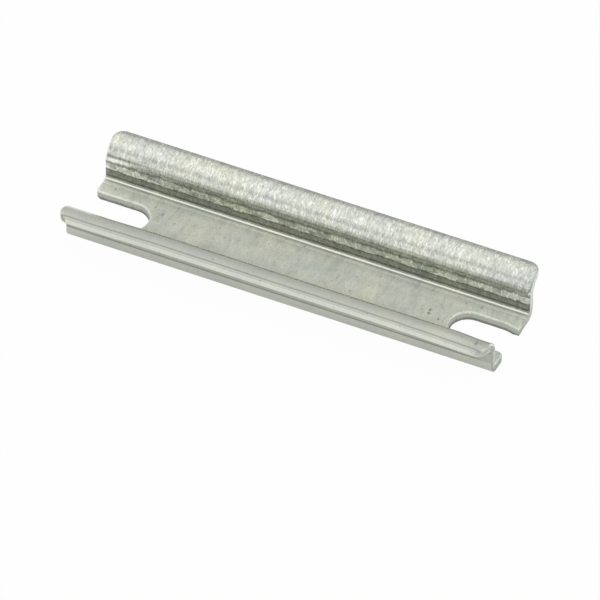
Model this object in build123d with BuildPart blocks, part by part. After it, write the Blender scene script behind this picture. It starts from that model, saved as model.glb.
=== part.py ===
import os

from build123d import *

os.makedirs("parts", exist_ok=True)

# Miniature top-hat rail, rolled from one strip of galvanised steel sheet. It lies on its web:
# X runs along the rail, Z = 0 is the underside of the web, and the flanges turn outwards on top.
rail_length = 50.0
rail_width = 15.0  # over the edges of both flanges
rail_height = 5.5  # underside of the web to the top of the flanges
sheet_thickness = 1.0
flange_overhang = 2.25  # outside of a wall to the edge of its flange

# Bends, measured on the inside of the sheet
web_bend_radius = 0.3  # wall into web
flange_bend_radius = 1.5  # wall into flange

# Lower edges of the flanges, dulled by the rolls
strip_edge_radius = 0.25

# Ends, cropped from above by one tool that also rounds the corners and opens the slots
flange_corner_radius = 1.25
slot_width = 4.2
slot_depth = 7.2  # end of the rail to the bottom of the slot
slot_mouth_radius = 0.5
rollover_radius = 0.2  # upper edge, drawn down by the cut

wall_outside = rail_width / 2 - flange_overhang
wall_inside = wall_outside - sheet_thickness
flange_underside = rail_height - sheet_thickness
slot_arc_centre = slot_depth - slot_width / 2

with BuildPart() as rail:
    # Hat section: both faces of the sheet over half the width, joined at the flange edge and mirrored
    with BuildSketch(Plane.YZ):
        with BuildLine():
            upper_face = FilletPolyline(
                (0, sheet_thickness),
                (wall_inside, sheet_thickness),
                (wall_inside, rail_height),
                (rail_width / 2, rail_height),
                radius=[web_bend_radius, flange_bend_radius + sheet_thickness],
            )
            lower_face = FilletPolyline(
                (0, 0),
                (wall_outside, 0),
                (wall_outside, flange_underside),
                (rail_width / 2, flange_underside),
                radius=[web_bend_radius + sheet_thickness, flange_bend_radius],
            )
            Line(upper_face @ 1, lower_face @ 1)
            mirror(about=Plane.YZ)
        make_face()
    extrude(amount=rail_length / 2, both=True)

    edge_columns = rail.edges().filter_by(Axis.X).group_by(Axis.Y)
    lower_strip_edges = [column.sort_by(Axis.Z)[0] for column in (edge_columns[0], edge_columns[-1])]
    fillet(lower_strip_edges, radius=strip_edge_radius)

    # Plan shape that the crop tool leaves, with a slot open through each end of the web
    with BuildSketch() as plan:
        RectangleRounded(rail_length, rail_width, flange_corner_radius)
        with Locations((-rail_length / 2, 0), (rail_length / 2, 0)):
            SlotCenterToCenter(2 * slot_arc_centre, slot_width, mode=Mode.SUBTRACT)
        end_corners = plan.vertices().group_by(Axis.X)[0] + plan.vertices().group_by(Axis.X)[-1]
        mouth_corners = end_corners.filter_by_position(Axis.Y, -slot_width, slot_width)
        fillet(mouth_corners, radius=slot_mouth_radius)
    extrude(amount=rail_height, mode=Mode.INTERSECT)

    # Roll-over: the upper outline is one tangent chain along both flange edges, the ends and the slots
    flange_top_edges = rail.edges().group_by(Axis.Z)[-1].filter_by(Axis.X).sort_by(Axis.Y)
    fillet([flange_top_edges[0], flange_top_edges[-1]], radius=rollover_radius)

rail.part.label = "rail"
export_step(rail.part, "parts/rail.step")
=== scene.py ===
import math

import bmesh
import bpy
from mathutils import Matrix, Vector, noise


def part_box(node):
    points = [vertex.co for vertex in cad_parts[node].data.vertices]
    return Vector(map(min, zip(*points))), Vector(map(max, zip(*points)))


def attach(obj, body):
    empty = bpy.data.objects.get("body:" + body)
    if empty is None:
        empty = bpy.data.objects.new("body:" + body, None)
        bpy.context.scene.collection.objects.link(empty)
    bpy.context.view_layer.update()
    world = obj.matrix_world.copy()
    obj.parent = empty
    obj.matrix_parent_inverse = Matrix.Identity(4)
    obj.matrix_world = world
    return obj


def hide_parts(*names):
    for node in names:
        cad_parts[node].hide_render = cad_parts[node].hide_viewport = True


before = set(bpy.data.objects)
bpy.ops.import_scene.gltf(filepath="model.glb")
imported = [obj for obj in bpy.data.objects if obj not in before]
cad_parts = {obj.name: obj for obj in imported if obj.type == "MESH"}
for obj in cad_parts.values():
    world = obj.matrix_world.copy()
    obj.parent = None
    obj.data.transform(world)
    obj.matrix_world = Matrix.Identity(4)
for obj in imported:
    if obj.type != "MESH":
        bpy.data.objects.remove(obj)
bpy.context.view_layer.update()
railLow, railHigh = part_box("rail")
mm = 0.001
print("frame loaded, rail box in mm:", [round(c / mm, 2) for c in railHigh - railLow])


# Camera: a long lens on the rail from the front right, well above it
view = {
    "turn": 25.37,  # degrees round the rail, from square-on towards its right end
    "height": 43.25,  # degrees above the floor
    "distance": 1351.0,  # mm
    "lens": 762.7,
    "sensor": 36,
    "aimRight": 0.12,  # mm in the picture, from the middle of the rail's box
    "aimDown": 4.49,
}


def makeCamera():
    turn = math.radians(view["turn"])
    height = math.radians(view["height"])
    right = Vector((math.cos(turn), math.sin(turn), 0))
    back = Vector((math.cos(height) * math.sin(turn), -math.cos(height) * math.cos(turn), math.sin(height)))
    up = back.cross(right)
    data = bpy.data.cameras.new("photoCamera")
    data.lens = view["lens"]
    data.sensor_width = view["sensor"]
    camera = bpy.data.objects.new("photoCamera", data)
    bpy.context.scene.collection.objects.link(camera)
    aim = (railLow + railHigh) / 2 + (right * view["aimRight"] - up * view["aimDown"]) * mm
    turned = Matrix((right, up, back)).transposed().to_4x4()
    camera.matrix_world = Matrix.Translation(aim + back * view["distance"] * mm) @ turned
    bpy.context.scene.camera = camera


makeCamera()
print("camera placed")


# Node helpers
def addNode(tree, kind, **values):
    node = tree.nodes.new(kind)
    for name, value in values.items():
        if hasattr(node, name):
            setattr(node, name, value)
        else:
            node.inputs[name].default_value = value
    return node


def mathNode(tree, operation, first, second=None, third=None, clamp=False):
    node = tree.nodes.new("ShaderNodeMath")
    node.operation = operation
    node.use_clamp = clamp
    for socket, value in zip(node.inputs, (first, second, third)):
        if value is None:
            continue
        if isinstance(value, (int, float)):
            socket.default_value = value
        else:
            tree.links.new(value, socket)
    return node.outputs[0]


def mapRange(tree, value, fromLow, fromHigh, toLow=0.0, toHigh=1.0, smooth=False):
    node = tree.nodes.new("ShaderNodeMapRange")
    node.interpolation_type = "SMOOTHSTEP" if smooth else "LINEAR"
    tree.links.new(value, node.inputs["Value"])
    limits = {"From Min": fromLow, "From Max": fromHigh, "To Min": toLow, "To Max": toHigh}
    for name, number in limits.items():
        node.inputs[name].default_value = number
    return node.outputs["Result"]


def between(tree, mask, low, high):
    # low where the mask is 0, high where it is 1
    return mapRange(tree, mask, 0.0, 1.0, low, high)


def overlap(tree, *masks):
    result = masks[0]
    for mask in masks[1:]:
        result = mathNode(tree, "MULTIPLY", result, mask)
    return result


def mixColour(tree, mask, first, second):
    # first where the mask is 0, second where it is 1
    node = addNode(tree, "ShaderNodeMix", data_type="RGBA")
    tree.links.new(mask, node.inputs[0])
    for socket, colour in ((node.inputs[6], first), (node.inputs[7], second)):
        if isinstance(colour, tuple):
            socket.default_value = (*colour, 1.0)
        else:
            tree.links.new(colour, socket)
    return node.outputs[2]


def shade(tree, colour, mask, factor):
    # multiplies a colour by factor where the mask is 1
    amount = mathNode(tree, "MULTIPLY_ADD", mask, factor - 1.0, 1.0)
    node = addNode(tree, "ShaderNodeVectorMath", operation="SCALE")
    tree.links.new(colour, node.inputs[0])
    tree.links.new(amount, node.inputs["Scale"])
    return node.outputs[0]


def splitPlace(tree, place):
    parts = tree.nodes.new("ShaderNodeSeparateXYZ")
    tree.links.new(place, parts.inputs[0])
    return parts.outputs


# Patterns follow the sheet: X mm along the rail, Y mm across the strip laid flat, Z mm up from its middle
def newPattern(name, outputs, **numbers):
    group = bpy.data.node_groups.new(name, "ShaderNodeTree")
    group.interface.new_socket("Place", in_out="INPUT", socket_type="NodeSocketVector")
    for label, number in numbers.items():
        socket = group.interface.new_socket(label, in_out="INPUT", socket_type="NodeSocketFloat")
        socket.default_value = number
    for label in outputs:
        group.interface.new_socket(label, in_out="OUTPUT", socket_type="NodeSocketFloat")
    return group, group.nodes.new("NodeGroupInput").outputs, group.nodes.new("NodeGroupOutput").inputs


def usePattern(tree, group, place, **numbers):
    node = tree.nodes.new("ShaderNodeGroup")
    node.node_tree = group
    tree.links.new(place, node.inputs["Place"])
    for name, number in numbers.items():
        node.inputs[name].default_value = number
    return node.outputs


def stretchPlace(group, inputs, through):
    stretch = addNode(group, "ShaderNodeCombineXYZ", Z=through)
    group.links.new(inputs["Along"], stretch.inputs["X"])
    group.links.new(inputs["Across"], stretch.inputs["Y"])
    placed = addNode(group, "ShaderNodeVectorMath", operation="MULTIPLY")
    group.links.new(inputs["Place"], placed.inputs[0])
    group.links.new(stretch.outputs[0], placed.inputs[1])
    return placed.outputs[0]


patternLook = {
    "fleck": (0.53, 0.72),  # noise at which a fleck starts, and is full
    "streak": (0.46, 0.28),
    "bandAbove": 0.25,  # mm up from the middle of the sheet, where bands start
    "pitAbove": 0.2,  # and pits
    "sideFade": 0.7,  # per mm, for a band that keeps to one half
    "lumpBend": 0.7,  # how far the outlines of the lumps are bent out of straight
    "lumpRim": (0.10, 0.02),  # distance from the outline at which the rim starts, and is full
    "leastSpeck": 0.4,  # the smallest speck, as a share of the size
    "speckTop": 0.6,  # the mask of a speck is levelled off here
    "speckSoft": 0.3,
}


def makeMottle():
    group, inputs, outputs = newPattern(
        "zincMottle", ("Cloud", "Fleck", "Streak", "Grain"), Along=1.0, Across=1.0)
    placed = stretchPlace(group, inputs, 1.0)
    cloud = addNode(group, "ShaderNodeTexNoise", Scale=0.22, Detail=3.0, Roughness=0.55)
    fleck = addNode(group, "ShaderNodeTexNoise", Scale=1.0, Detail=1.5, Roughness=0.55, Distortion=0.5)
    grain = addNode(group, "ShaderNodeTexNoise", Scale=3.2, Detail=2.0, Roughness=0.6)
    for texture in (cloud, fleck, grain):
        group.links.new(placed, texture.inputs["Vector"])
    group.links.new(cloud.outputs["Fac"], outputs["Cloud"])
    group.links.new(mapRange(group, fleck.outputs["Fac"], *patternLook["fleck"]), outputs["Fleck"])
    group.links.new(mapRange(group, fleck.outputs["Fac"], *patternLook["streak"]), outputs["Streak"])
    group.links.new(grain.outputs["Fac"], outputs["Grain"])
    return group


def makeBand():
    # a soft line along the rail, Middle mm from the centre of the strip
    # Side 0 puts it on both halves; 1 keeps it on the far half, -1 on the near one, fading out over the web
    group, inputs, outputs = newPattern(
        "lengthwiseBand", ("Mask",), Side=0.0, Middle=5.0, Reach=0.5, Soft=0.1, Waver=0.0, Waves=1.0)
    parts = splitPlace(group, inputs["Place"])
    scaled = addNode(group, "ShaderNodeVectorMath", operation="SCALE")
    group.links.new(inputs["Place"], scaled.inputs[0])
    group.links.new(inputs["Waves"], scaled.inputs["Scale"])
    wave = addNode(group, "ShaderNodeTexNoise", Scale=1.0, Detail=2.0, Roughness=0.5)
    group.links.new(scaled.outputs[0], wave.inputs["Vector"])
    drift = mathNode(group, "SUBTRACT", wave.outputs["Fac"], 0.5)
    drift = mathNode(group, "MULTIPLY", drift, inputs["Waver"])
    run = mathNode(group, "ADD", mathNode(group, "ABSOLUTE", parts["Y"]), drift)
    away = mathNode(group, "ABSOLUTE", mathNode(group, "SUBTRACT", run, inputs["Middle"]))
    ramp = mathNode(group, "DIVIDE", mathNode(group, "SUBTRACT", inputs["Reach"], away), inputs["Soft"])
    edge = mathNode(group, "ADD", ramp, 0.5, clamp=True)
    upper = mathNode(group, "GREATER_THAN", parts["Z"], patternLook["bandAbove"])
    sided = mathNode(group, "MULTIPLY", parts["Y"], inputs["Side"])
    sided = mathNode(group, "MULTIPLY_ADD", sided, patternLook["sideFade"], 1.0, clamp=True)
    group.links.new(overlap(group, edge, upper, sided), outputs["Mask"])
    return group


def makeCobbles():
    # lumps side by side along the bend: Stone is a tone for each lump, Rim its raised outline; as colour
    # they give painted reflections of the wavy surface
    group, inputs, outputs = newPattern("zincCobbles", ("Stone", "Rim"), Along=1.0, Across=1.0)
    placed = stretchPlace(group, inputs, 0.2)
    bend = addNode(group, "ShaderNodeTexNoise", Scale=1.7, Detail=1.0, Roughness=0.5)
    group.links.new(placed, bend.inputs["Vector"])
    push = addNode(group, "ShaderNodeVectorMath", operation="MULTIPLY_ADD")
    push.inputs[1].default_value = (patternLook["lumpBend"], patternLook["lumpBend"], 0.0)
    group.links.new(bend.outputs["Color"], push.inputs[0])
    group.links.new(placed, push.inputs[2])
    stones, borders = [
        addNode(group, "ShaderNodeTexVoronoi", voronoi_dimensions="2D", feature=feature, Scale=1.0)
        for feature in ("F1", "DISTANCE_TO_EDGE")
    ]
    for texture in (stones, borders):
        group.links.new(push.outputs[0], texture.inputs["Vector"])
    tones = group.nodes.new("ShaderNodeSeparateColor")
    group.links.new(stones.outputs["Color"], tones.inputs[0])
    group.links.new(tones.outputs[0], outputs["Stone"])
    group.links.new(mapRange(group, borders.outputs["Distance"], *patternLook["lumpRim"]), outputs["Rim"])
    return group


def makeSpecks():
    # small round marks, strewn: Share of the cells has one
    group, inputs, outputs = newPattern("strewnSpecks", ("Mask",), Density=1.0, Share=0.2, Size=0.1)
    cells = addNode(group, "ShaderNodeTexVoronoi", voronoi_dimensions="3D", feature="F1", Randomness=1.0)
    group.links.new(inputs["Place"], cells.inputs["Vector"])
    group.links.new(inputs["Density"], cells.inputs["Scale"])
    tones = group.nodes.new("ShaderNodeSeparateColor")
    group.links.new(cells.outputs["Color"], tones.inputs[0])
    chosen = mathNode(group, "LESS_THAN", tones.outputs[0], inputs["Share"])
    share = mathNode(group, "ADD", tones.outputs[1], patternLook["leastSpeck"])
    size = mathNode(group, "MULTIPLY", inputs["Size"], share)
    away = mathNode(group, "DIVIDE", cells.outputs["Distance"], size)
    near = mathNode(group, "SUBTRACT", 1.0, away, clamp=True)
    flat = mathNode(group, "SMOOTH_MIN", near, patternLook["speckTop"], patternLook["speckSoft"])
    group.links.new(overlap(group, flat, chosen), outputs["Mask"])
    return group


def makePit():
    # one oval pit at Along, Across on the strip, with Long and Wide as its half sizes
    group, inputs, outputs = newPattern("singlePit", ("Mask",), Along=0.0, Across=0.0, Long=0.2, Wide=0.2)
    parts = splitPlace(group, inputs["Place"])
    away = []
    for axis, centre, size in (("X", "Along", "Long"), ("Y", "Across", "Wide")):
        gap = mathNode(group, "SUBTRACT", parts[axis], inputs[centre])
        gap = mathNode(group, "DIVIDE", gap, inputs[size])
        away.append(mathNode(group, "MULTIPLY", gap, gap))
    reach = mathNode(group, "SUBTRACT", 1.0, mathNode(group, "ADD", *away), clamp=True)
    upper = mathNode(group, "GREATER_THAN", parts["Z"], patternLook["pitAbove"])
    group.links.new(overlap(group, reach, upper), outputs["Mask"])
    return group


zincMottle = makeMottle()
lengthwiseBand = makeBand()
zincCobbles = makeCobbles()
strewnSpecks = makeSpecks()
singlePit = makePit()


# What both finishes of the rail use
def newMetal(name):
    material = bpy.data.materials.new(name)
    material.use_nodes = True
    shader = material.node_tree.nodes["Principled BSDF"]
    shader.inputs["Metallic"].default_value = 1.0
    return material, material.node_tree, shader


def sheetAxes(tree):
    # the place on the sheet, and its parts in mm; run is across without its sign
    place = addNode(tree, "ShaderNodeAttribute", attribute_name="sheetPlace").outputs["Vector"]
    parts = splitPlace(tree, place)
    axes = {"along": parts["X"], "across": parts["Y"], "depth": parts["Z"]}
    axes["run"] = mathNode(tree, "ABSOLUTE", parts["Y"])
    return place, axes


def patch(tree, axes, limits):
    # each limit is an axis, where the patch starts and where it is full, and if need be the values there
    return overlap(tree, *[mapRange(tree, axes[axis], *numbers) for axis, *numbers in limits])


def shadePatches(tree, axes, colour, patches):
    for _, factor, *limits in patches:
        colour = shade(tree, colour, patch(tree, axes, limits), factor)
    return colour


def raiseSurface(tree, shader, height):
    bump = addNode(tree, "ShaderNodeBump", Strength=1.0, Distance=mm)
    tree.links.new(height, bump.inputs["Height"])
    tree.links.new(bump.outputs["Normal"], shader.inputs["Normal"])


zincLook = {
    "cool": (0.628, 0.658, 0.604),  # two tones that drift over the sheet
    "warm": (0.690, 0.700, 0.610),
    "drift": (0.38, 0.62),  # noise at which each of them is full
    "rolledFrom": (3.95, 4.25),  # mm across the flat strip, where the rolled finish starts and is full
    "livelyFrom": (4.7, 5.5),  # and its flecks
    "webRoughness": 0.68,  # flat web, left as dipped
    "rolledRoughness": 0.22,  # bends, walls and flanges, rubbed by the rolls
    "calmRoughness": 0.34,
    "grain": (0.3, 0.7),  # noise at the two ends of the grain
    "grainRoughness": 0.05,  # up and down with it
    "webLife": 0.16,  # how strongly the flecks show on the web, and on the calm parts
    "calmLife": 0.12,
    "fleck": 1.31,  # shades, from here on: above 1 is lighter, below 1 is darker
    "streak": 0.80,
    "webFleck": 1.08,
    "webStreak": 0.90,
    "webGrain": 0.86,
    "webGrainFrom": (0.50, 0.72),
    # painted reflections on the lumps of the bend: a tone for each, lighter rims, a lighter band
    "lump": 0.50,
    "lumpRim": 1.52,
    "lumpBandLight": 1.14,
    "speck": 0.56,
    "bead": 1.5,
    # painted highlight along the rolled-over top rims
    "rollOver": 1.22,
    "farEnd": -1.1,  # painted shade: the far part of the right end turns the painted highlight of its roll-over round into shade
    # painted shade on the lower faces: the underside and the outer walls under the flanges
    "underside": 0.74,
    "pitSize": 1.3,  # times the half sizes in the list of pits
    "grainHeight": 0.003,  # mm
    "fleckHeight": 0.004,
    "speckHeight": -0.01,
    "lumpHeight": 0.012,
}
zincPlaces = {  # limits in mm on the flat strip: axis, where the patch starts, where it is full
    "nearTop": [("across", -8.7, -9.3)],
    "belowTop": [("depth", 0.42, 0.30)],
    "rollOver": [("depth", 0.30, 0.36), ("depth", 0.499, 0.48), ("run", 9.6, 9.3)],
    "farEnd": [("along", 24.4, 24.7), ("across", 2.2, 2.8)],
    "lowerHalf": [("depth", -0.10, -0.40)],
    "lowerFace": [("depth", -0.28, -0.40)],
    "insideEdge": [("run", 10.70, 10.60)],
}
formLightAndShade = [  # painted light and painted shade that follow the form: name, shade and limits of the patches
    # painted highlight on the rolled rim of the right end
    ("rightRim", 1.35, ("along", 24.72, 24.84), ("across", -3.5, -4.5), ("across", -9.3, -8.5),
     ("depth", 0.28, 0.32)),
    # painted light on the outer edge faces of the flanges and on the outer faces of the walls
    ("edgeFace", 1.10, ("run", 10.74, 10.79), ("depth", 0.40, 0.20), ("along", 23.7, 22.6)),
    ("outerWall", 1.24, ("run", 5.78, 5.70), ("run", 4.3, 5.2, 0.4, 1.0), ("depth", -0.40, -0.48)),
    ("foldShadow", 0.66, ("run", 5.68, 5.76), ("run", 5.96, 5.90), ("depth", -0.40, -0.48),
     ("along", 23.9, 22.9)),
    # painted shade on the lower lip of the flange edges
    ("lowerLip", 0.85, ("run", 10.50, 10.60), ("depth", -0.44, -0.50)),
]
# Lines along the rail, most of them painted light and painted shade where the bends and edges catch or lose
# the light:
# name, side, then in mm across the flat strip middle, half width, softness and waver, then waves per mm and
# shade
lightAndRollLines = [
    # painted light on the far half of the web, strongest near the foot of the far wall
    ("farWebLight", 1, 0.00, 3.90, 0.20, 0.05, 0.5, 1.10),
    ("webLightNearWall", 1, 2.90, 0.95, 1.0, 0.10, 0.5, 1.12),
    ("wallFootLight", 1, 3.56, 0.18, 0.22, 0.08, 0.8, 1.20),
    # painted shade: a thin dark line where the web bend meets the web
    ("cornerShadeLine", 0, 4.02, 0.05, 0.06, 0.05, 0.8, 0.66),
    # painted highlight along the web bend, with a soft ramp above it
    ("cornerHighlight", 0, 4.46, 0.20, 0.14, 0.05, 0.5, 1.30),
    ("cornerHighlightRamp", 0, 5.02, 0.13, 0.18, 0.05, 0.5, 2.10),
    # painted shade on the lower part of the inner walls, with a dark line and a border
    ("wallShadeLine", 0, 5.42, 0.10, 0.14, 0.06, 0.6, 0.62),
    ("wallShade", 0, 5.56, 0.70, 0.10, 0.62, 0.9, 0.40),
    ("wallShadeBorder", 0, 6.22, 0.09, 0.10, 0.62, 0.9, 0.60),
    # painted shade and painted light across the bend into the far flange
    ("bendShadeLine", 0, 7.16, 0.13, 0.20, 0.44, 1.2, 0.50),
    ("valleyLight", 0, 7.52, 0.12, 0.24, 0.20, 0.8, 1.48),
    ("shoulderLight", 1, 7.93, 0.10, 0.14, 0.20, 0.5, 1.34),
    ("bendCrownLight", 1, 9.05, 0.35, 0.40, 0.20, 0.5, 1.09),
    ("farShoulder", 1, 9.90, 0.16, 0.20, 0.10, 0.5, 1.02),
    # painted shade along the drawn-down outer edge of the far flange
    ("farEdgeShade", 1, 10.54, 0.32, 0.14, 0.10, 0.6, 0.78),
    ("nearFold", -1, 9.15, 0.30, 0.40, 0.10, 0.5, 0.88),
    ("nearTop", -1, 10.00, 0.30, 0.30, 0.20, 0.5, 1.02),
    # painted shade along the outer edge of the near flange
    ("nearEdgeShade", -1, 10.54, 0.12, 0.12, 0.08, 0.6, 0.62),
]
pits = [  # along, across the strip, half sizes in mm, shade
    (14.39, 0.06, 0.10, 0.10, 0.60),
    (15.23, 0.34, 0.15, 0.22, 0.40),
    (15.31, -0.17, 0.20, 0.16, 0.42),
    (16.62, -0.57, 0.11, 0.20, 0.50),
    (14.23, 3.19, 0.10, 0.10, 0.65),
    (20.03, 3.00, 0.18, 0.24, 0.74),
    (-1.00, 3.51, 0.12, 0.12, 0.58),
    (4.21, 0.67, 0.10, 0.14, 0.65),
    (3.84, -0.06, 0.08, 0.12, 0.68),
    (6.31, -0.63, 0.12, 0.14, 0.60),
    (-6.04, 0.02, 0.10, 0.10, 0.65),
    (-4.64, 2.28, 0.09, 0.09, 0.66),
    (-23.16, 2.96, 0.09, 0.22, 0.64),
    (-18.07, 2.31, 0.09, 0.12, 0.66),
    (-16.85, 1.58, 0.11, 0.18, 0.62),
    (-16.85, 0.45, 0.09, 0.12, 0.66),
    (-15.07, 0.82, 0.09, 0.12, 0.68),
    (23.64, -9.66, 0.16, 0.34, 0.60),
]


def zincGround(tree, place, mottle, life, still):
    # two tones, with flecks and streaks that are livelier on the rolled parts
    drift = usePattern(tree, zincMottle, place, Along=0.9, Across=0.7)
    sparkle = usePattern(tree, zincMottle, place, Along=5.5, Across=3.6)
    clouded = usePattern(tree, zincMottle, place, Along=1.5, Across=0.55)
    tone = mapRange(tree, drift["Cloud"], *zincLook["drift"])
    colour = mixColour(tree, tone, zincLook["cool"], zincLook["warm"])
    for pattern in (mottle, sparkle):
        colour = shade(tree, colour, overlap(tree, pattern["Fleck"], life), zincLook["fleck"])
        colour = shade(tree, colour, overlap(tree, pattern["Streak"], life), zincLook["streak"])
    grain = mapRange(tree, mottle["Grain"], *zincLook["webGrainFrom"])
    webMasks = {"webFleck": clouded["Fleck"], "webStreak": clouded["Streak"], "webGrain": grain}
    for name, mask in webMasks.items():
        colour = shade(tree, colour, overlap(tree, mask, still), zincLook[name])
    return colour


def zincLumps(tree, place, colour):
    # lumps along the foot of the bend into the flange: painted reflections of the wavy surface, a tone for
    # each lump, lighter rims and a lighter band; the rims are also raised by bump
    band = usePattern(tree, lengthwiseBand, place, Middle=6.72, Reach=0.50, Soft=0.25, Waver=0.5, Waves=0.9)
    cobbles = usePattern(tree, zincCobbles, place, Along=0.95, Across=1.5)
    rims = overlap(tree, cobbles["Rim"], band["Mask"])
    colour = shade(tree, colour, overlap(tree, cobbles["Stone"], band["Mask"]), zincLook["lump"])
    colour = shade(tree, colour, rims, zincLook["lumpRim"])
    return shade(tree, colour, band["Mask"], zincLook["lumpBandLight"]), rims


def marksAndPaintedLines(tree, place, colour):
    # lines along the rail, mostly painted light and painted shade, then dark specks, light beads along the
    # foot of the walls, and pits
    for _, side, middle, reach, soft, waver, waves, factor in lightAndRollLines:
        band = usePattern(tree, lengthwiseBand, place,
                          Side=side, Middle=middle, Reach=reach, Soft=soft, Waver=waver, Waves=waves)
        colour = shade(tree, colour, band["Mask"], factor)
    specks = usePattern(tree, strewnSpecks, place, Density=1.7, Share=0.45, Size=0.20)["Mask"]
    colour = shade(tree, colour, specks, zincLook["speck"])
    foot = usePattern(tree, lengthwiseBand, place, Middle=3.62, Reach=0.22, Soft=0.15)
    beads = usePattern(tree, strewnSpecks, place, Density=2.4, Share=0.5, Size=0.30)
    colour = shade(tree, colour, overlap(tree, beads["Mask"], foot["Mask"]), zincLook["bead"])
    size = zincLook["pitSize"]
    for along, across, long, wide, factor in pits:
        pit = usePattern(tree, singlePit, place,
                         Along=along, Across=across, Long=size * long, Wide=size * wide)
        colour = shade(tree, colour, pit["Mask"], factor)
    return colour, specks


def makeZinc():
    material, tree, shader = newMetal("galvanisedZinc")
    place, axes = sheetAxes(tree)
    parts = {name: patch(tree, axes, limits) for name, limits in zincPlaces.items()}
    rolled = mapRange(tree, axes["run"], *zincLook["rolledFrom"], smooth=True)
    lively = mapRange(tree, axes["run"], *zincLook["livelyFrom"], smooth=True)
    still = mathNode(tree, "SUBTRACT", 1.0, rolled)
    calm = mathNode(tree, "MAXIMUM", parts["nearTop"], parts["belowTop"])
    life = mathNode(tree, "MINIMUM", between(tree, lively, zincLook["webLife"], 1.0),
                    between(tree, calm, 1.0, zincLook["calmLife"]))

    mottle = usePattern(tree, zincMottle, place, Along=3.4, Across=1.7)
    colour = zincGround(tree, place, mottle, life, still)
    colour, lumpRims = zincLumps(tree, place, colour)
    colour, specks = marksAndPaintedLines(tree, place, colour)
    # painted highlight on the rolled-over rims, turned to painted shade at the far part of the right end
    rollOver = overlap(tree, parts["rollOver"], between(tree, parts["farEnd"], 1.0, zincLook["farEnd"]))
    colour = shade(tree, colour, rollOver, zincLook["rollOver"])
    # painted light and painted shade that follow the form
    colour = shadePatches(tree, axes, colour, formLightAndShade)
    # painted shade on the lower faces
    below = mathNode(tree, "MAXIMUM", parts["insideEdge"], parts["lowerFace"])
    colour = shade(tree, colour, overlap(tree, parts["lowerHalf"], below), zincLook["underside"])
    tree.links.new(colour, shader.inputs["Base Color"])

    rough = between(tree, rolled, zincLook["webRoughness"], zincLook["rolledRoughness"])
    rough = mathNode(tree, "MAXIMUM", rough, between(tree, calm, 0.0, zincLook["calmRoughness"]))
    spread = zincLook["grainRoughness"]
    uneven = mapRange(tree, mottle["Grain"], *zincLook["grain"], -spread, spread)
    tree.links.new(mathNode(tree, "ADD", rough, uneven), shader.inputs["Roughness"])

    height = mathNode(tree, "MULTIPLY", mottle["Grain"], zincLook["grainHeight"])
    flecks = overlap(tree, mottle["Fleck"], life)
    raised = {"fleckHeight": flecks, "speckHeight": specks, "lumpHeight": lumpRims}
    for name, mask in raised.items():
        height = mathNode(tree, "MULTIPLY_ADD", mask, zincLook[name], height)
    raiseSurface(tree, shader, height)
    return material


cutLook = {
    "burnished": (0.500, 0.522, 0.470),  # upper part of a cut, rubbed smooth by the tool
    "fractured": (0.330, 0.340, 0.305),  # lower part, torn
    "uneven": 0.5,  # mm, for the whole range of the grain
    "tornFrom": (0.08, -0.06),  # mm up from the middle of the sheet, with that added
    "tornPlace": [("run", 2.7, 2.4, 0.15, 1.0)],  # fully torn in the slots, a little elsewhere
    "streak": 0.85,
    "roughness": (0.34, 0.62),  # burnished, torn
    "height": (0.002, 0.03),  # mm
}
cutLightAndShade = [  # painted light and painted shade on the cut faces, by where they face: name, shade and limits of the patches
    # painted shade on the near part of the cuts, painted light on the far part and the far wall
    ("nearPart", 0.84, ("across", -2.6, -3.2)),
    ("farPart", 1.10, ("across", 2.6, 3.2)),
    ("farWall", 1.35, ("across", 4.5, 5.3)),
    # painted light on the top of the near flange's tip at the right end, painted highlight on its fold
    ("tipTop", 1.22, ("across", -8.4, -9.1), ("along", 0, 1), ("depth", -0.2, -0.1)),
    ("tipFold", 1.75, ("across", -8.4, -9.1), ("along", 0, 1), ("depth", -0.46, -0.38),
     ("depth", -0.12, -0.22)),
    # painted highlight along the rim of the near wall's cut
    ("wallRim", 1.50, ("across", -2.6, -3.2), ("run", 4.4, 5.0), ("run", 7.6, 6.9),
     ("depth", -0.22, -0.12)),
]


def makeCutSteel():
    material, tree, shader = newMetal("croppedEdge")
    place, axes = sheetAxes(tree)
    mottle = usePattern(tree, zincMottle, place, Along=3.0, Across=3.0)
    ragged = mathNode(tree, "MULTIPLY_ADD", mottle["Grain"], cutLook["uneven"], axes["depth"])
    torn = mapRange(tree, ragged, *cutLook["tornFrom"], smooth=True)
    torn = overlap(tree, torn, patch(tree, axes, cutLook["tornPlace"]))
    tone = mixColour(tree, torn, cutLook["burnished"], cutLook["fractured"])
    tone = shade(tree, tone, mottle["Streak"], cutLook["streak"])
    tone = shadePatches(tree, axes, tone, cutLightAndShade)
    tree.links.new(tone, shader.inputs["Base Color"])
    tree.links.new(between(tree, torn, *cutLook["roughness"]), shader.inputs["Roughness"])
    raiseSurface(tree, shader, overlap(tree, mottle["Grain"], between(tree, torn, *cutLook["height"])))
    return material


galvanisedZinc = makeZinc()
croppedEdge = makeCutSteel()
print("materials made")


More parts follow.
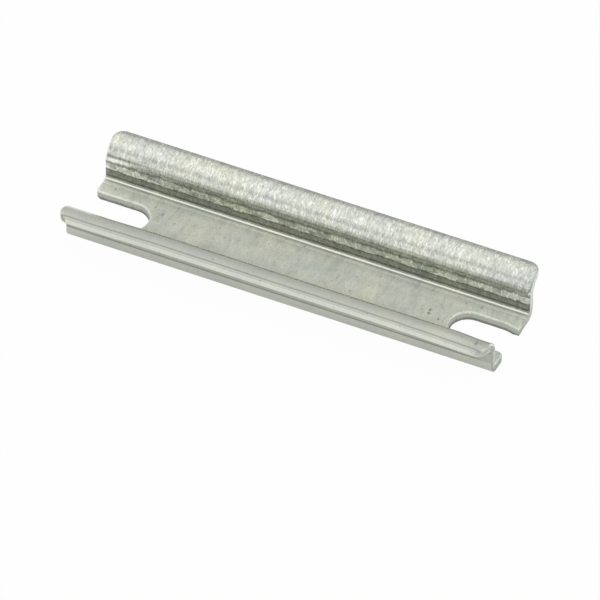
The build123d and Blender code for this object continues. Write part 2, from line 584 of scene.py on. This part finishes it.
# The rail is modelled as it is made: a flat blank with its slots, folded to the hat section
railSheet = {
    "sheet": 1.0,  # mm, as are all lengths here
    "overhang": 2.25,  # outside of a wall to the edge of its flange
    "webBend": 0.3,  # inside radius, wall into web
    "flangeBend": 1.5,  # inside radius, wall into flange
    "slotWidth": 4.2,
    "slotDepth": 7.2,
    "slotMiddle": -0.17,  # punched a little off the middle
    "slotRound": 0.9995,  # share of half its width: the two inner rounds end just before they meet
    "cornerRound": 1.25,
    "mouthRound": 0.5,
    "sharpMouth": 0.1,  # the far corner of the right slot
    "cornerSteps": {"flange": 8, "mouth": 6, "sharp": 3, "slot": 12},
    "rollOver": 0.2,
    "rollOverSteps": 4,
    "stripEdge": 0.25,
    "stripEdgeSteps": 3,
    "gridStep": 0.22,
    "bendSteps": (9, 14),  # web bend, flange bend
    "depthRows": (0.1, -0.05, -0.2, -0.35),  # up from the middle of the sheet
    "weld": 0.005,  # points nearer than this are joined, on the blank and after the grid is cut
    "gridWeld": 0.004,
    "smoothBelow": 40,  # degrees between two faces
}
zincFaces, steelFaces = 0, 1  # the rail's materials, in order
closeBy = 0.01  # mm: places nearer than this count as one
nearlyStraight = 0.01  # radians


def railSizes():
    size = (railHigh - railLow) / mm
    half = railSheet["sheet"] / 2
    s = dict(railSheet)
    s["half"] = half
    s["length"], s["width"], s["height"] = size
    s["webMid"] = s["webBend"] + half
    s["flangeMid"] = s["flangeBend"] + half
    s["wallMid"] = s["width"] / 2 - s["overhang"] - half
    s["webFlat"] = s["wallMid"] - s["webMid"]
    s["flangeCentre"] = s["wallMid"] + s["flangeMid"]
    s["webCentreUp"] = s["sheet"] + s["webBend"]
    s["flangeCentreUp"] = s["height"] - s["sheet"] - s["flangeBend"]
    s["wallFlat"] = s["flangeCentreUp"] - s["webCentreUp"]
    quarter = math.pi / 2
    flangeFlat = s["width"] / 2 - s["flangeCentre"]
    runs = [s["webFlat"], s["webMid"] * quarter, s["wallFlat"], s["flangeMid"] * quarter, flangeFlat]
    s["folds"] = [sum(runs[:count]) for count in range(1, len(runs) + 1)]  # where each stretch ends
    return s


def foldedPoint(s, across, depth):
    # where a point of the flat strip ends up in the section
    side = math.copysign(1, across)
    run = abs(across)
    webEnd, bendEnd, wallEnd, flangeStart, _ = s["folds"]
    if run <= webEnd:
        return across, s["half"] + depth
    if run <= bendEnd:
        turn = (run - webEnd) / s["webMid"]
        radius = s["webMid"] - depth
        out, up = s["webFlat"] + radius * math.sin(turn), s["webCentreUp"] - radius * math.cos(turn)
        return side * out, up
    if run <= wallEnd:
        return side * (s["wallMid"] - depth), s["webCentreUp"] + run - bendEnd
    if run <= flangeStart:
        turn = (run - wallEnd) / s["flangeMid"]
        radius = s["flangeMid"] + depth
        out, up = s["flangeCentre"] - radius * math.cos(turn), s["flangeCentreUp"] + radius * math.sin(turn)
        return side * out, up
    return side * (s["flangeCentre"] + run - flangeStart), s["height"] - s["half"] + depth


def cutAcross(bm, point, normal):
    geometry = bm.verts[:] + bm.edges[:] + bm.faces[:]
    bmesh.ops.bisect_plane(bm, geom=geometry, dist=1e-5, plane_co=point, plane_no=normal)


def roundCorners(bm, verts, radius, segments):
    bmesh.ops.bevel(bm, geom=verts, offset=radius, offset_type="OFFSET", affect="VERTICES",
                    segments=segments, profile=0.5, material=-1)


def roundEdges(bm, edges, radius, segments):
    bmesh.ops.bevel(bm, geom=edges, offset=radius, offset_type="OFFSET", affect="EDGES",
                    segments=segments, profile=0.5, material=zincFaces)


def steps(start, end, count):
    return [start + (end - start) * index / count for index in range(count)]


def blankCorners(bm, halfLength, halfStrip):
    corners = {"flange": [], "slot": [], "mouth": [], "sharp": []}
    for v in bm.verts:
        if abs(v.co.x) < halfLength - closeBy:
            corners["slot"].append(v)
        elif abs(v.co.y) > halfStrip - closeBy:
            corners["flange"].append(v)
        elif v.co.x > 0 and v.co.y > 0:
            corners["sharp"].append(v)
        else:
            corners["mouth"].append(v)
    print("blank corners:", {name: len(verts) for name, verts in corners.items()})
    return corners


def makeBlank(s):
    bm = bmesh.new()
    halfLength, halfStrip = s["length"] / 2, s["folds"][-1]
    bmesh.ops.create_grid(bm, x_segments=1, y_segments=1, size=1.0)
    bmesh.ops.scale(bm, vec=(halfLength, halfStrip, 1), verts=bm.verts)
    slotEnd, slotSide = halfLength - s["slotDepth"], s["slotWidth"] / 2
    for side in (-1, 1):
        cutAcross(bm, (side * slotEnd, 0, 0), (1, 0, 0))
        cutAcross(bm, (0, s["slotMiddle"] + side * slotSide, 0), (0, 1, 0))
    middles = {f: f.calc_center_median() for f in bm.faces}
    waste = [f for f, m in middles.items() if abs(m.x) > slotEnd and abs(m.y - s["slotMiddle"]) < slotSide]
    bmesh.ops.delete(bm, geom=waste, context="FACES")
    bmesh.ops.dissolve_faces(bm, faces=bm.faces[:])
    straight = [v for v in bm.verts if abs(v.calc_edge_angle(0)) < nearlyStraight]
    bmesh.ops.dissolve_verts(bm, verts=straight)

    corners = blankCorners(bm, halfLength, halfStrip)
    rounds = {"flange": s["cornerRound"], "mouth": s["mouthRound"], "sharp": s["sharpMouth"],
              "slot": slotSide * s["slotRound"]}
    for name, radius in rounds.items():
        roundCorners(bm, corners[name], radius, s["cornerSteps"][name])
    bmesh.ops.remove_doubles(bm, verts=bm.verts[:], dist=s["weld"])

    bmesh.ops.solidify(bm, geom=bm.faces[:], thickness=s["sheet"])
    bmesh.ops.recalc_face_normals(bm, faces=bm.faces[:])
    middle = sum(v.co.z for v in bm.verts) / len(bm.verts)
    bmesh.ops.translate(bm, vec=(0, 0, -middle), verts=bm.verts)
    for face in bm.faces:
        standing = abs(face.normal.z) < 0.5
        face.material_index = steelFaces if standing else zincFaces
    return bm


def isRim(edge):
    return len({face.material_index for face in edge.link_faces}) == 2


def softenRim(bm, s):
    top = [e for e in bm.edges if isRim(e) and e.verts[0].co.z > 0]
    roundEdges(bm, top, s["rollOver"], s["rollOverSteps"])
    flangeCorner = s["folds"][-1] - s["cornerRound"] - closeBy
    under = [e for e in bm.edges if isRim(e) and max(v.co.z for v in e.verts) < -s["half"] + closeBy
             and min(abs(v.co.y) for v in e.verts) > flangeCorner]
    roundEdges(bm, under, s["stripEdge"], s["stripEdgeSteps"])
    bm.normal_update()
    for face in bm.faces:
        outermost = abs(face.calc_center_median().y) > s["folds"][-1] - s["rollOver"] / 2
        if outermost and abs(face.normal.y) > 0.99:
            face.material_index = zincFaces  # the long edges of the strip were slit before it was dipped


def ruleGrid(bm, s):
    reach = s["length"] / 2 - 2 * s["rollOver"]
    columns = round(2 * reach / s["gridStep"])
    for place in steps(-reach, reach, columns) + [reach]:
        cutAcross(bm, (place, 0, 0), (1, 0, 0))
    webEnd, bendEnd, wallEnd, flangeStart, stripEnd = s["folds"]
    webBendSteps, flangeBendSteps = s["bendSteps"]
    rows = steps(0, webEnd, round(webEnd / s["gridStep"]))
    rows += steps(webEnd, bendEnd, webBendSteps)
    rows += steps(bendEnd, wallEnd, round(s["wallFlat"] / s["gridStep"]))
    rows += steps(wallEnd, flangeStart, flangeBendSteps)
    rows += [flangeStart, (flangeStart + stripEnd - s["rollOver"]) / 2]
    for place in rows:
        cutAcross(bm, (0, place, 0), (0, 1, 0))
        if place > 0:
            cutAcross(bm, (0, -place, 0), (0, 1, 0))
    for place in s["depthRows"]:
        cutAcross(bm, (0, 0, place), (0, 0, 1))
    bmesh.ops.remove_doubles(bm, verts=bm.verts[:], dist=s["gridWeld"])


def ease(value, start, end):
    t = min(max((value - start) / (end - start), 0.0), 1.0)
    return t * t * (3 - 2 * t)


cropWear = {  # mm, what the crop tool did to the cut edges
    "tornFrom": 0.1,  # below the middle of the sheet
    "tornTo": 0.5,
    "ragged": 0.04,
    "waves": 1.9,  # per mm in plan
    "wavesThrough": 3,  # per mm through the sheet
    "wavesShift": 7.3,
    "leastOut": 0.1,  # a point stays where its normal leans out less than this
    "endBack": 0.01,  # how far the torn part stands back at the ends
    "slotBurr": 0.09,  # and how far it stands out into the slots
    "slotReach": (24.5, 2.4),  # along and across: what lies within is an edge of a slot
    "flare": 0.30,  # the far corner of the right slot, pushed into the slot
    "flareLong": (1.9, 0.1),  # back from the end of the rail
    "flareWeb": (3.4, 2.0),  # across: it fades out over the web
    "flareSlot": (0.5, 1.4),  # and leaves the other side of the slot alone
}


def roughenBreak(bm):
    # the lower part of a cut is torn: it leaves the outline a little, unevenly
    slotLong, slotWide = cropWear["slotReach"]
    bm.normal_update()
    moves = []
    for v in bm.verts:
        cut = any(f.material_index == steelFaces for f in v.link_faces)
        if not cut or v.co.z > -cropWear["tornFrom"]:
            continue
        out = Vector((v.normal.x, v.normal.y, 0))
        if out.length < cropWear["leastOut"]:
            continue
        waves, through = cropWear["waves"], cropWear["wavesThrough"]
        place = Vector((v.co.x * waves, v.co.y * waves, v.co.z * through + cropWear["wavesShift"]))
        inSlot = abs(v.co.y) < slotWide and abs(v.co.x) < slotLong
        low = ease(-v.co.z, cropWear["tornFrom"], cropWear["tornTo"])
        back = (-cropWear["slotBurr"] if inSlot else cropWear["endBack"]) * low
        back += cropWear["ragged"] * (0.5 + 0.5 * noise.noise(place))
        moves.append((v, out.normalized() * -back))
    for v, move in moves:
        v.co += move


def flareCorner(bm, s):
    back, full = cropWear["flareLong"]
    end = s["length"] / 2
    for v in bm.verts:
        pull = ease(v.co.x, end - back, end - full)
        pull *= ease(v.co.y, *cropWear["flareWeb"]) * ease(v.co.y, *cropWear["flareSlot"])
        v.co.y -= cropWear["flare"] * pull


nearDroop = {  # mm, how far the near flange was pressed down at its cropped ends
    "nearerThan": -4.6,  # across: the near wall and its flange
    "up": (2.5, 4.4),  # the wall gives over this height
    "edge": 0.30,  # the flange's edge, towards the right end
    "edgeFrom": 13,  # along
    "edgeLength": 12,
    "edgeCurve": 1.5,
    "edgeAcross": (5.4, 7.2),
    "tip": 0.22,  # the bend over the wall, at the right end only
    "tipAlong": (20.5, 24.5),
    "tipAcross": (7.4, 5.6),
    "left": 0.15,  # the bend and all of the flange, towards the left end
    "leftAlong": (13, 21),
}


def droop(x, across, up):
    wear = nearDroop
    if across > wear["nearerThan"] or up < wear["up"][0]:
        return 0.0
    edge = wear["edge"] * max(0.0, (x - wear["edgeFrom"]) / wear["edgeLength"]) ** wear["edgeCurve"]
    edge *= ease(-across, *wear["edgeAcross"])
    tip = wear["tip"] * ease(x, *wear["tipAlong"]) * ease(-across, *wear["tipAcross"])
    left = wear["left"] * ease(-x, *wear["leftAlong"])
    return (edge + tip + left) * ease(up, *wear["up"])


def makeRail():
    s = railSizes()
    bm = makeBlank(s)
    softenRim(bm, s)
    ruleGrid(bm, s)
    placeLayer = bm.verts.layers.float_vector.new("sheetPlace")
    for v in bm.verts:
        v[placeLayer] = v.co.copy()
    roughenBreak(bm)
    flareCorner(bm, s)
    for v in bm.verts:
        across, up = foldedPoint(s, v.co.y, v.co.z)
        v.co = Vector((v.co.x, across, up - droop(v.co.x, across, up)))
    bmesh.ops.scale(bm, vec=(mm, mm, mm), verts=bm.verts)
    for face in bm.faces:
        face.smooth = True
    mesh = bpy.data.meshes.new("railSheet")
    bm.to_mesh(mesh)
    bm.free()
    mesh.set_sharp_from_angle(angle=math.radians(s["smoothBelow"]))
    for material in (galvanisedZinc, croppedEdge):
        mesh.materials.append(material)
    piece = bpy.data.objects.new("railSheet", mesh)
    bpy.context.scene.collection.objects.link(piece)
    print("rail faces:", len(mesh.polygons), "triangles:", sum(len(p.vertices) - 2 for p in mesh.polygons))
    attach(piece, "root")
    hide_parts("rail")


makeRail()
print("rail made")


# Floor and light: white floor, one broad soft light overhead, darker low on the camera's side
studio = {
    "floorSize": 4.0,  # m
    "floorGap": 0.02,  # mm
    "floorColour": (0.8, 0.8, 0.79),
    "floorWhite": 0.97,  # share of plain white that the camera sees
    "floorShine": (0.55, 0.86),  # and that the metal sees, beside the rail and away from it; the lower share beside it is a painted shadow of the rail in the floor's glow
    "besideRail": (0.0072, 0.0105),  # m, from the middle of the rail to the side
}


def whiteShare(tree):
    path = tree.nodes.new("ShaderNodeLightPath")
    seen = mathNode(tree, "MULTIPLY", path.outputs["Is Camera Ray"], studio["floorWhite"])
    mirrored = mathNode(tree, "MAXIMUM", path.outputs["Is Glossy Ray"], path.outputs["Is Transmission Ray"])
    way = addNode(tree, "ShaderNodeTexCoord")
    away = mathNode(tree, "ABSOLUTE", splitPlace(tree, way.outputs["Object"])["Y"])
    # painted shadow: the floor glows less beside the rail in what the metal reflects
    shine = mapRange(tree, away, *studio["besideRail"], *studio["floorShine"], smooth=True)
    return mathNode(tree, "MULTIPLY_ADD", mirrored, shine, seen)


def mixShaders(tree, factor, first, second):
    mix = tree.nodes.new("ShaderNodeMixShader")
    for socket, source in zip(mix.inputs, (factor, first, second)):
        tree.links.new(source, socket)
    return mix.outputs[0]


def makeFloor():
    mesh = bpy.data.meshes.new("floor")
    bm = bmesh.new()
    bmesh.ops.create_grid(bm, x_segments=1, y_segments=1, size=studio["floorSize"] / 2)
    bmesh.ops.translate(bm, vec=(0, 0, railLow.z - studio["floorGap"] * mm), verts=bm.verts)
    bm.to_mesh(mesh)
    bm.free()
    material = bpy.data.materials.new("whiteFloor")
    material.use_nodes = True
    tree = material.node_tree
    tree.nodes.clear()
    diffuse = addNode(tree, "ShaderNodeBsdfDiffuse", Color=(*studio["floorColour"], 1))
    white = addNode(tree, "ShaderNodeEmission", Strength=1.0)
    above = mixShaders(tree, whiteShare(tree), diffuse.outputs[0], white.outputs[0])
    # from below the floor is clear, so that the underside of the rail can be looked at
    clear = tree.nodes.new("ShaderNodeBsdfTransparent")
    side = tree.nodes.new("ShaderNodeNewGeometry")
    whole = mixShaders(tree, side.outputs["Backfacing"], above, clear.outputs[0])
    output = tree.nodes.new("ShaderNodeOutputMaterial")
    tree.links.new(whole, output.inputs["Surface"])
    mesh.materials.append(material)
    floor = bpy.data.objects.new("floor", mesh)
    bpy.context.scene.collection.objects.link(floor)


skyTones = [  # degrees from the horizon behind the rail, over the top, to the horizon on the camera's side
    (0, 0.60),
    (15, 0.67),
    (32, 0.60),
    (45, 0.70),
    (58, 0.98),
    (80, 1.00),
    (118, 0.98),
    (134, 0.70),
    (150, 1.10),
    (162, 0.85),
    (175, 0.10),
]


def makeSky():
    world = bpy.data.worlds.new("softStudio")
    bpy.context.scene.world = world
    world.use_nodes = True
    tree = world.node_tree
    tree.nodes.clear()
    way = addNode(tree, "ShaderNodeTexCoord")
    parts = splitPlace(tree, way.outputs["Generated"])
    over = mathNode(tree, "ARCTAN2", parts["Z"], parts["Y"])
    ramp = tree.nodes.new("ShaderNodeValToRGB")
    ramp.color_ramp.interpolation = "LINEAR"
    while len(ramp.color_ramp.elements) < len(skyTones):
        ramp.color_ramp.elements.new(0.5)
    for element, (angle, tone) in zip(ramp.color_ramp.elements, skyTones):
        element.position = angle / 180
        element.color = (tone, tone, tone, 1)
    tree.links.new(mapRange(tree, over, 0, math.pi), ramp.inputs[0])
    path = tree.nodes.new("ShaderNodeLightPath")
    tone = mixColour(tree, path.outputs["Is Camera Ray"], ramp.outputs[0], (1.0, 1.0, 1.0))
    sky = addNode(tree, "ShaderNodeBackground", Strength=1.0)
    tree.links.new(tone, sky.inputs["Color"])
    output = tree.nodes.new("ShaderNodeOutputWorld")
    tree.links.new(sky.outputs[0], output.inputs["Surface"])


makeFloor()
makeSky()
bpy.context.scene.view_settings.view_transform = "Standard"
print("floor and light made")
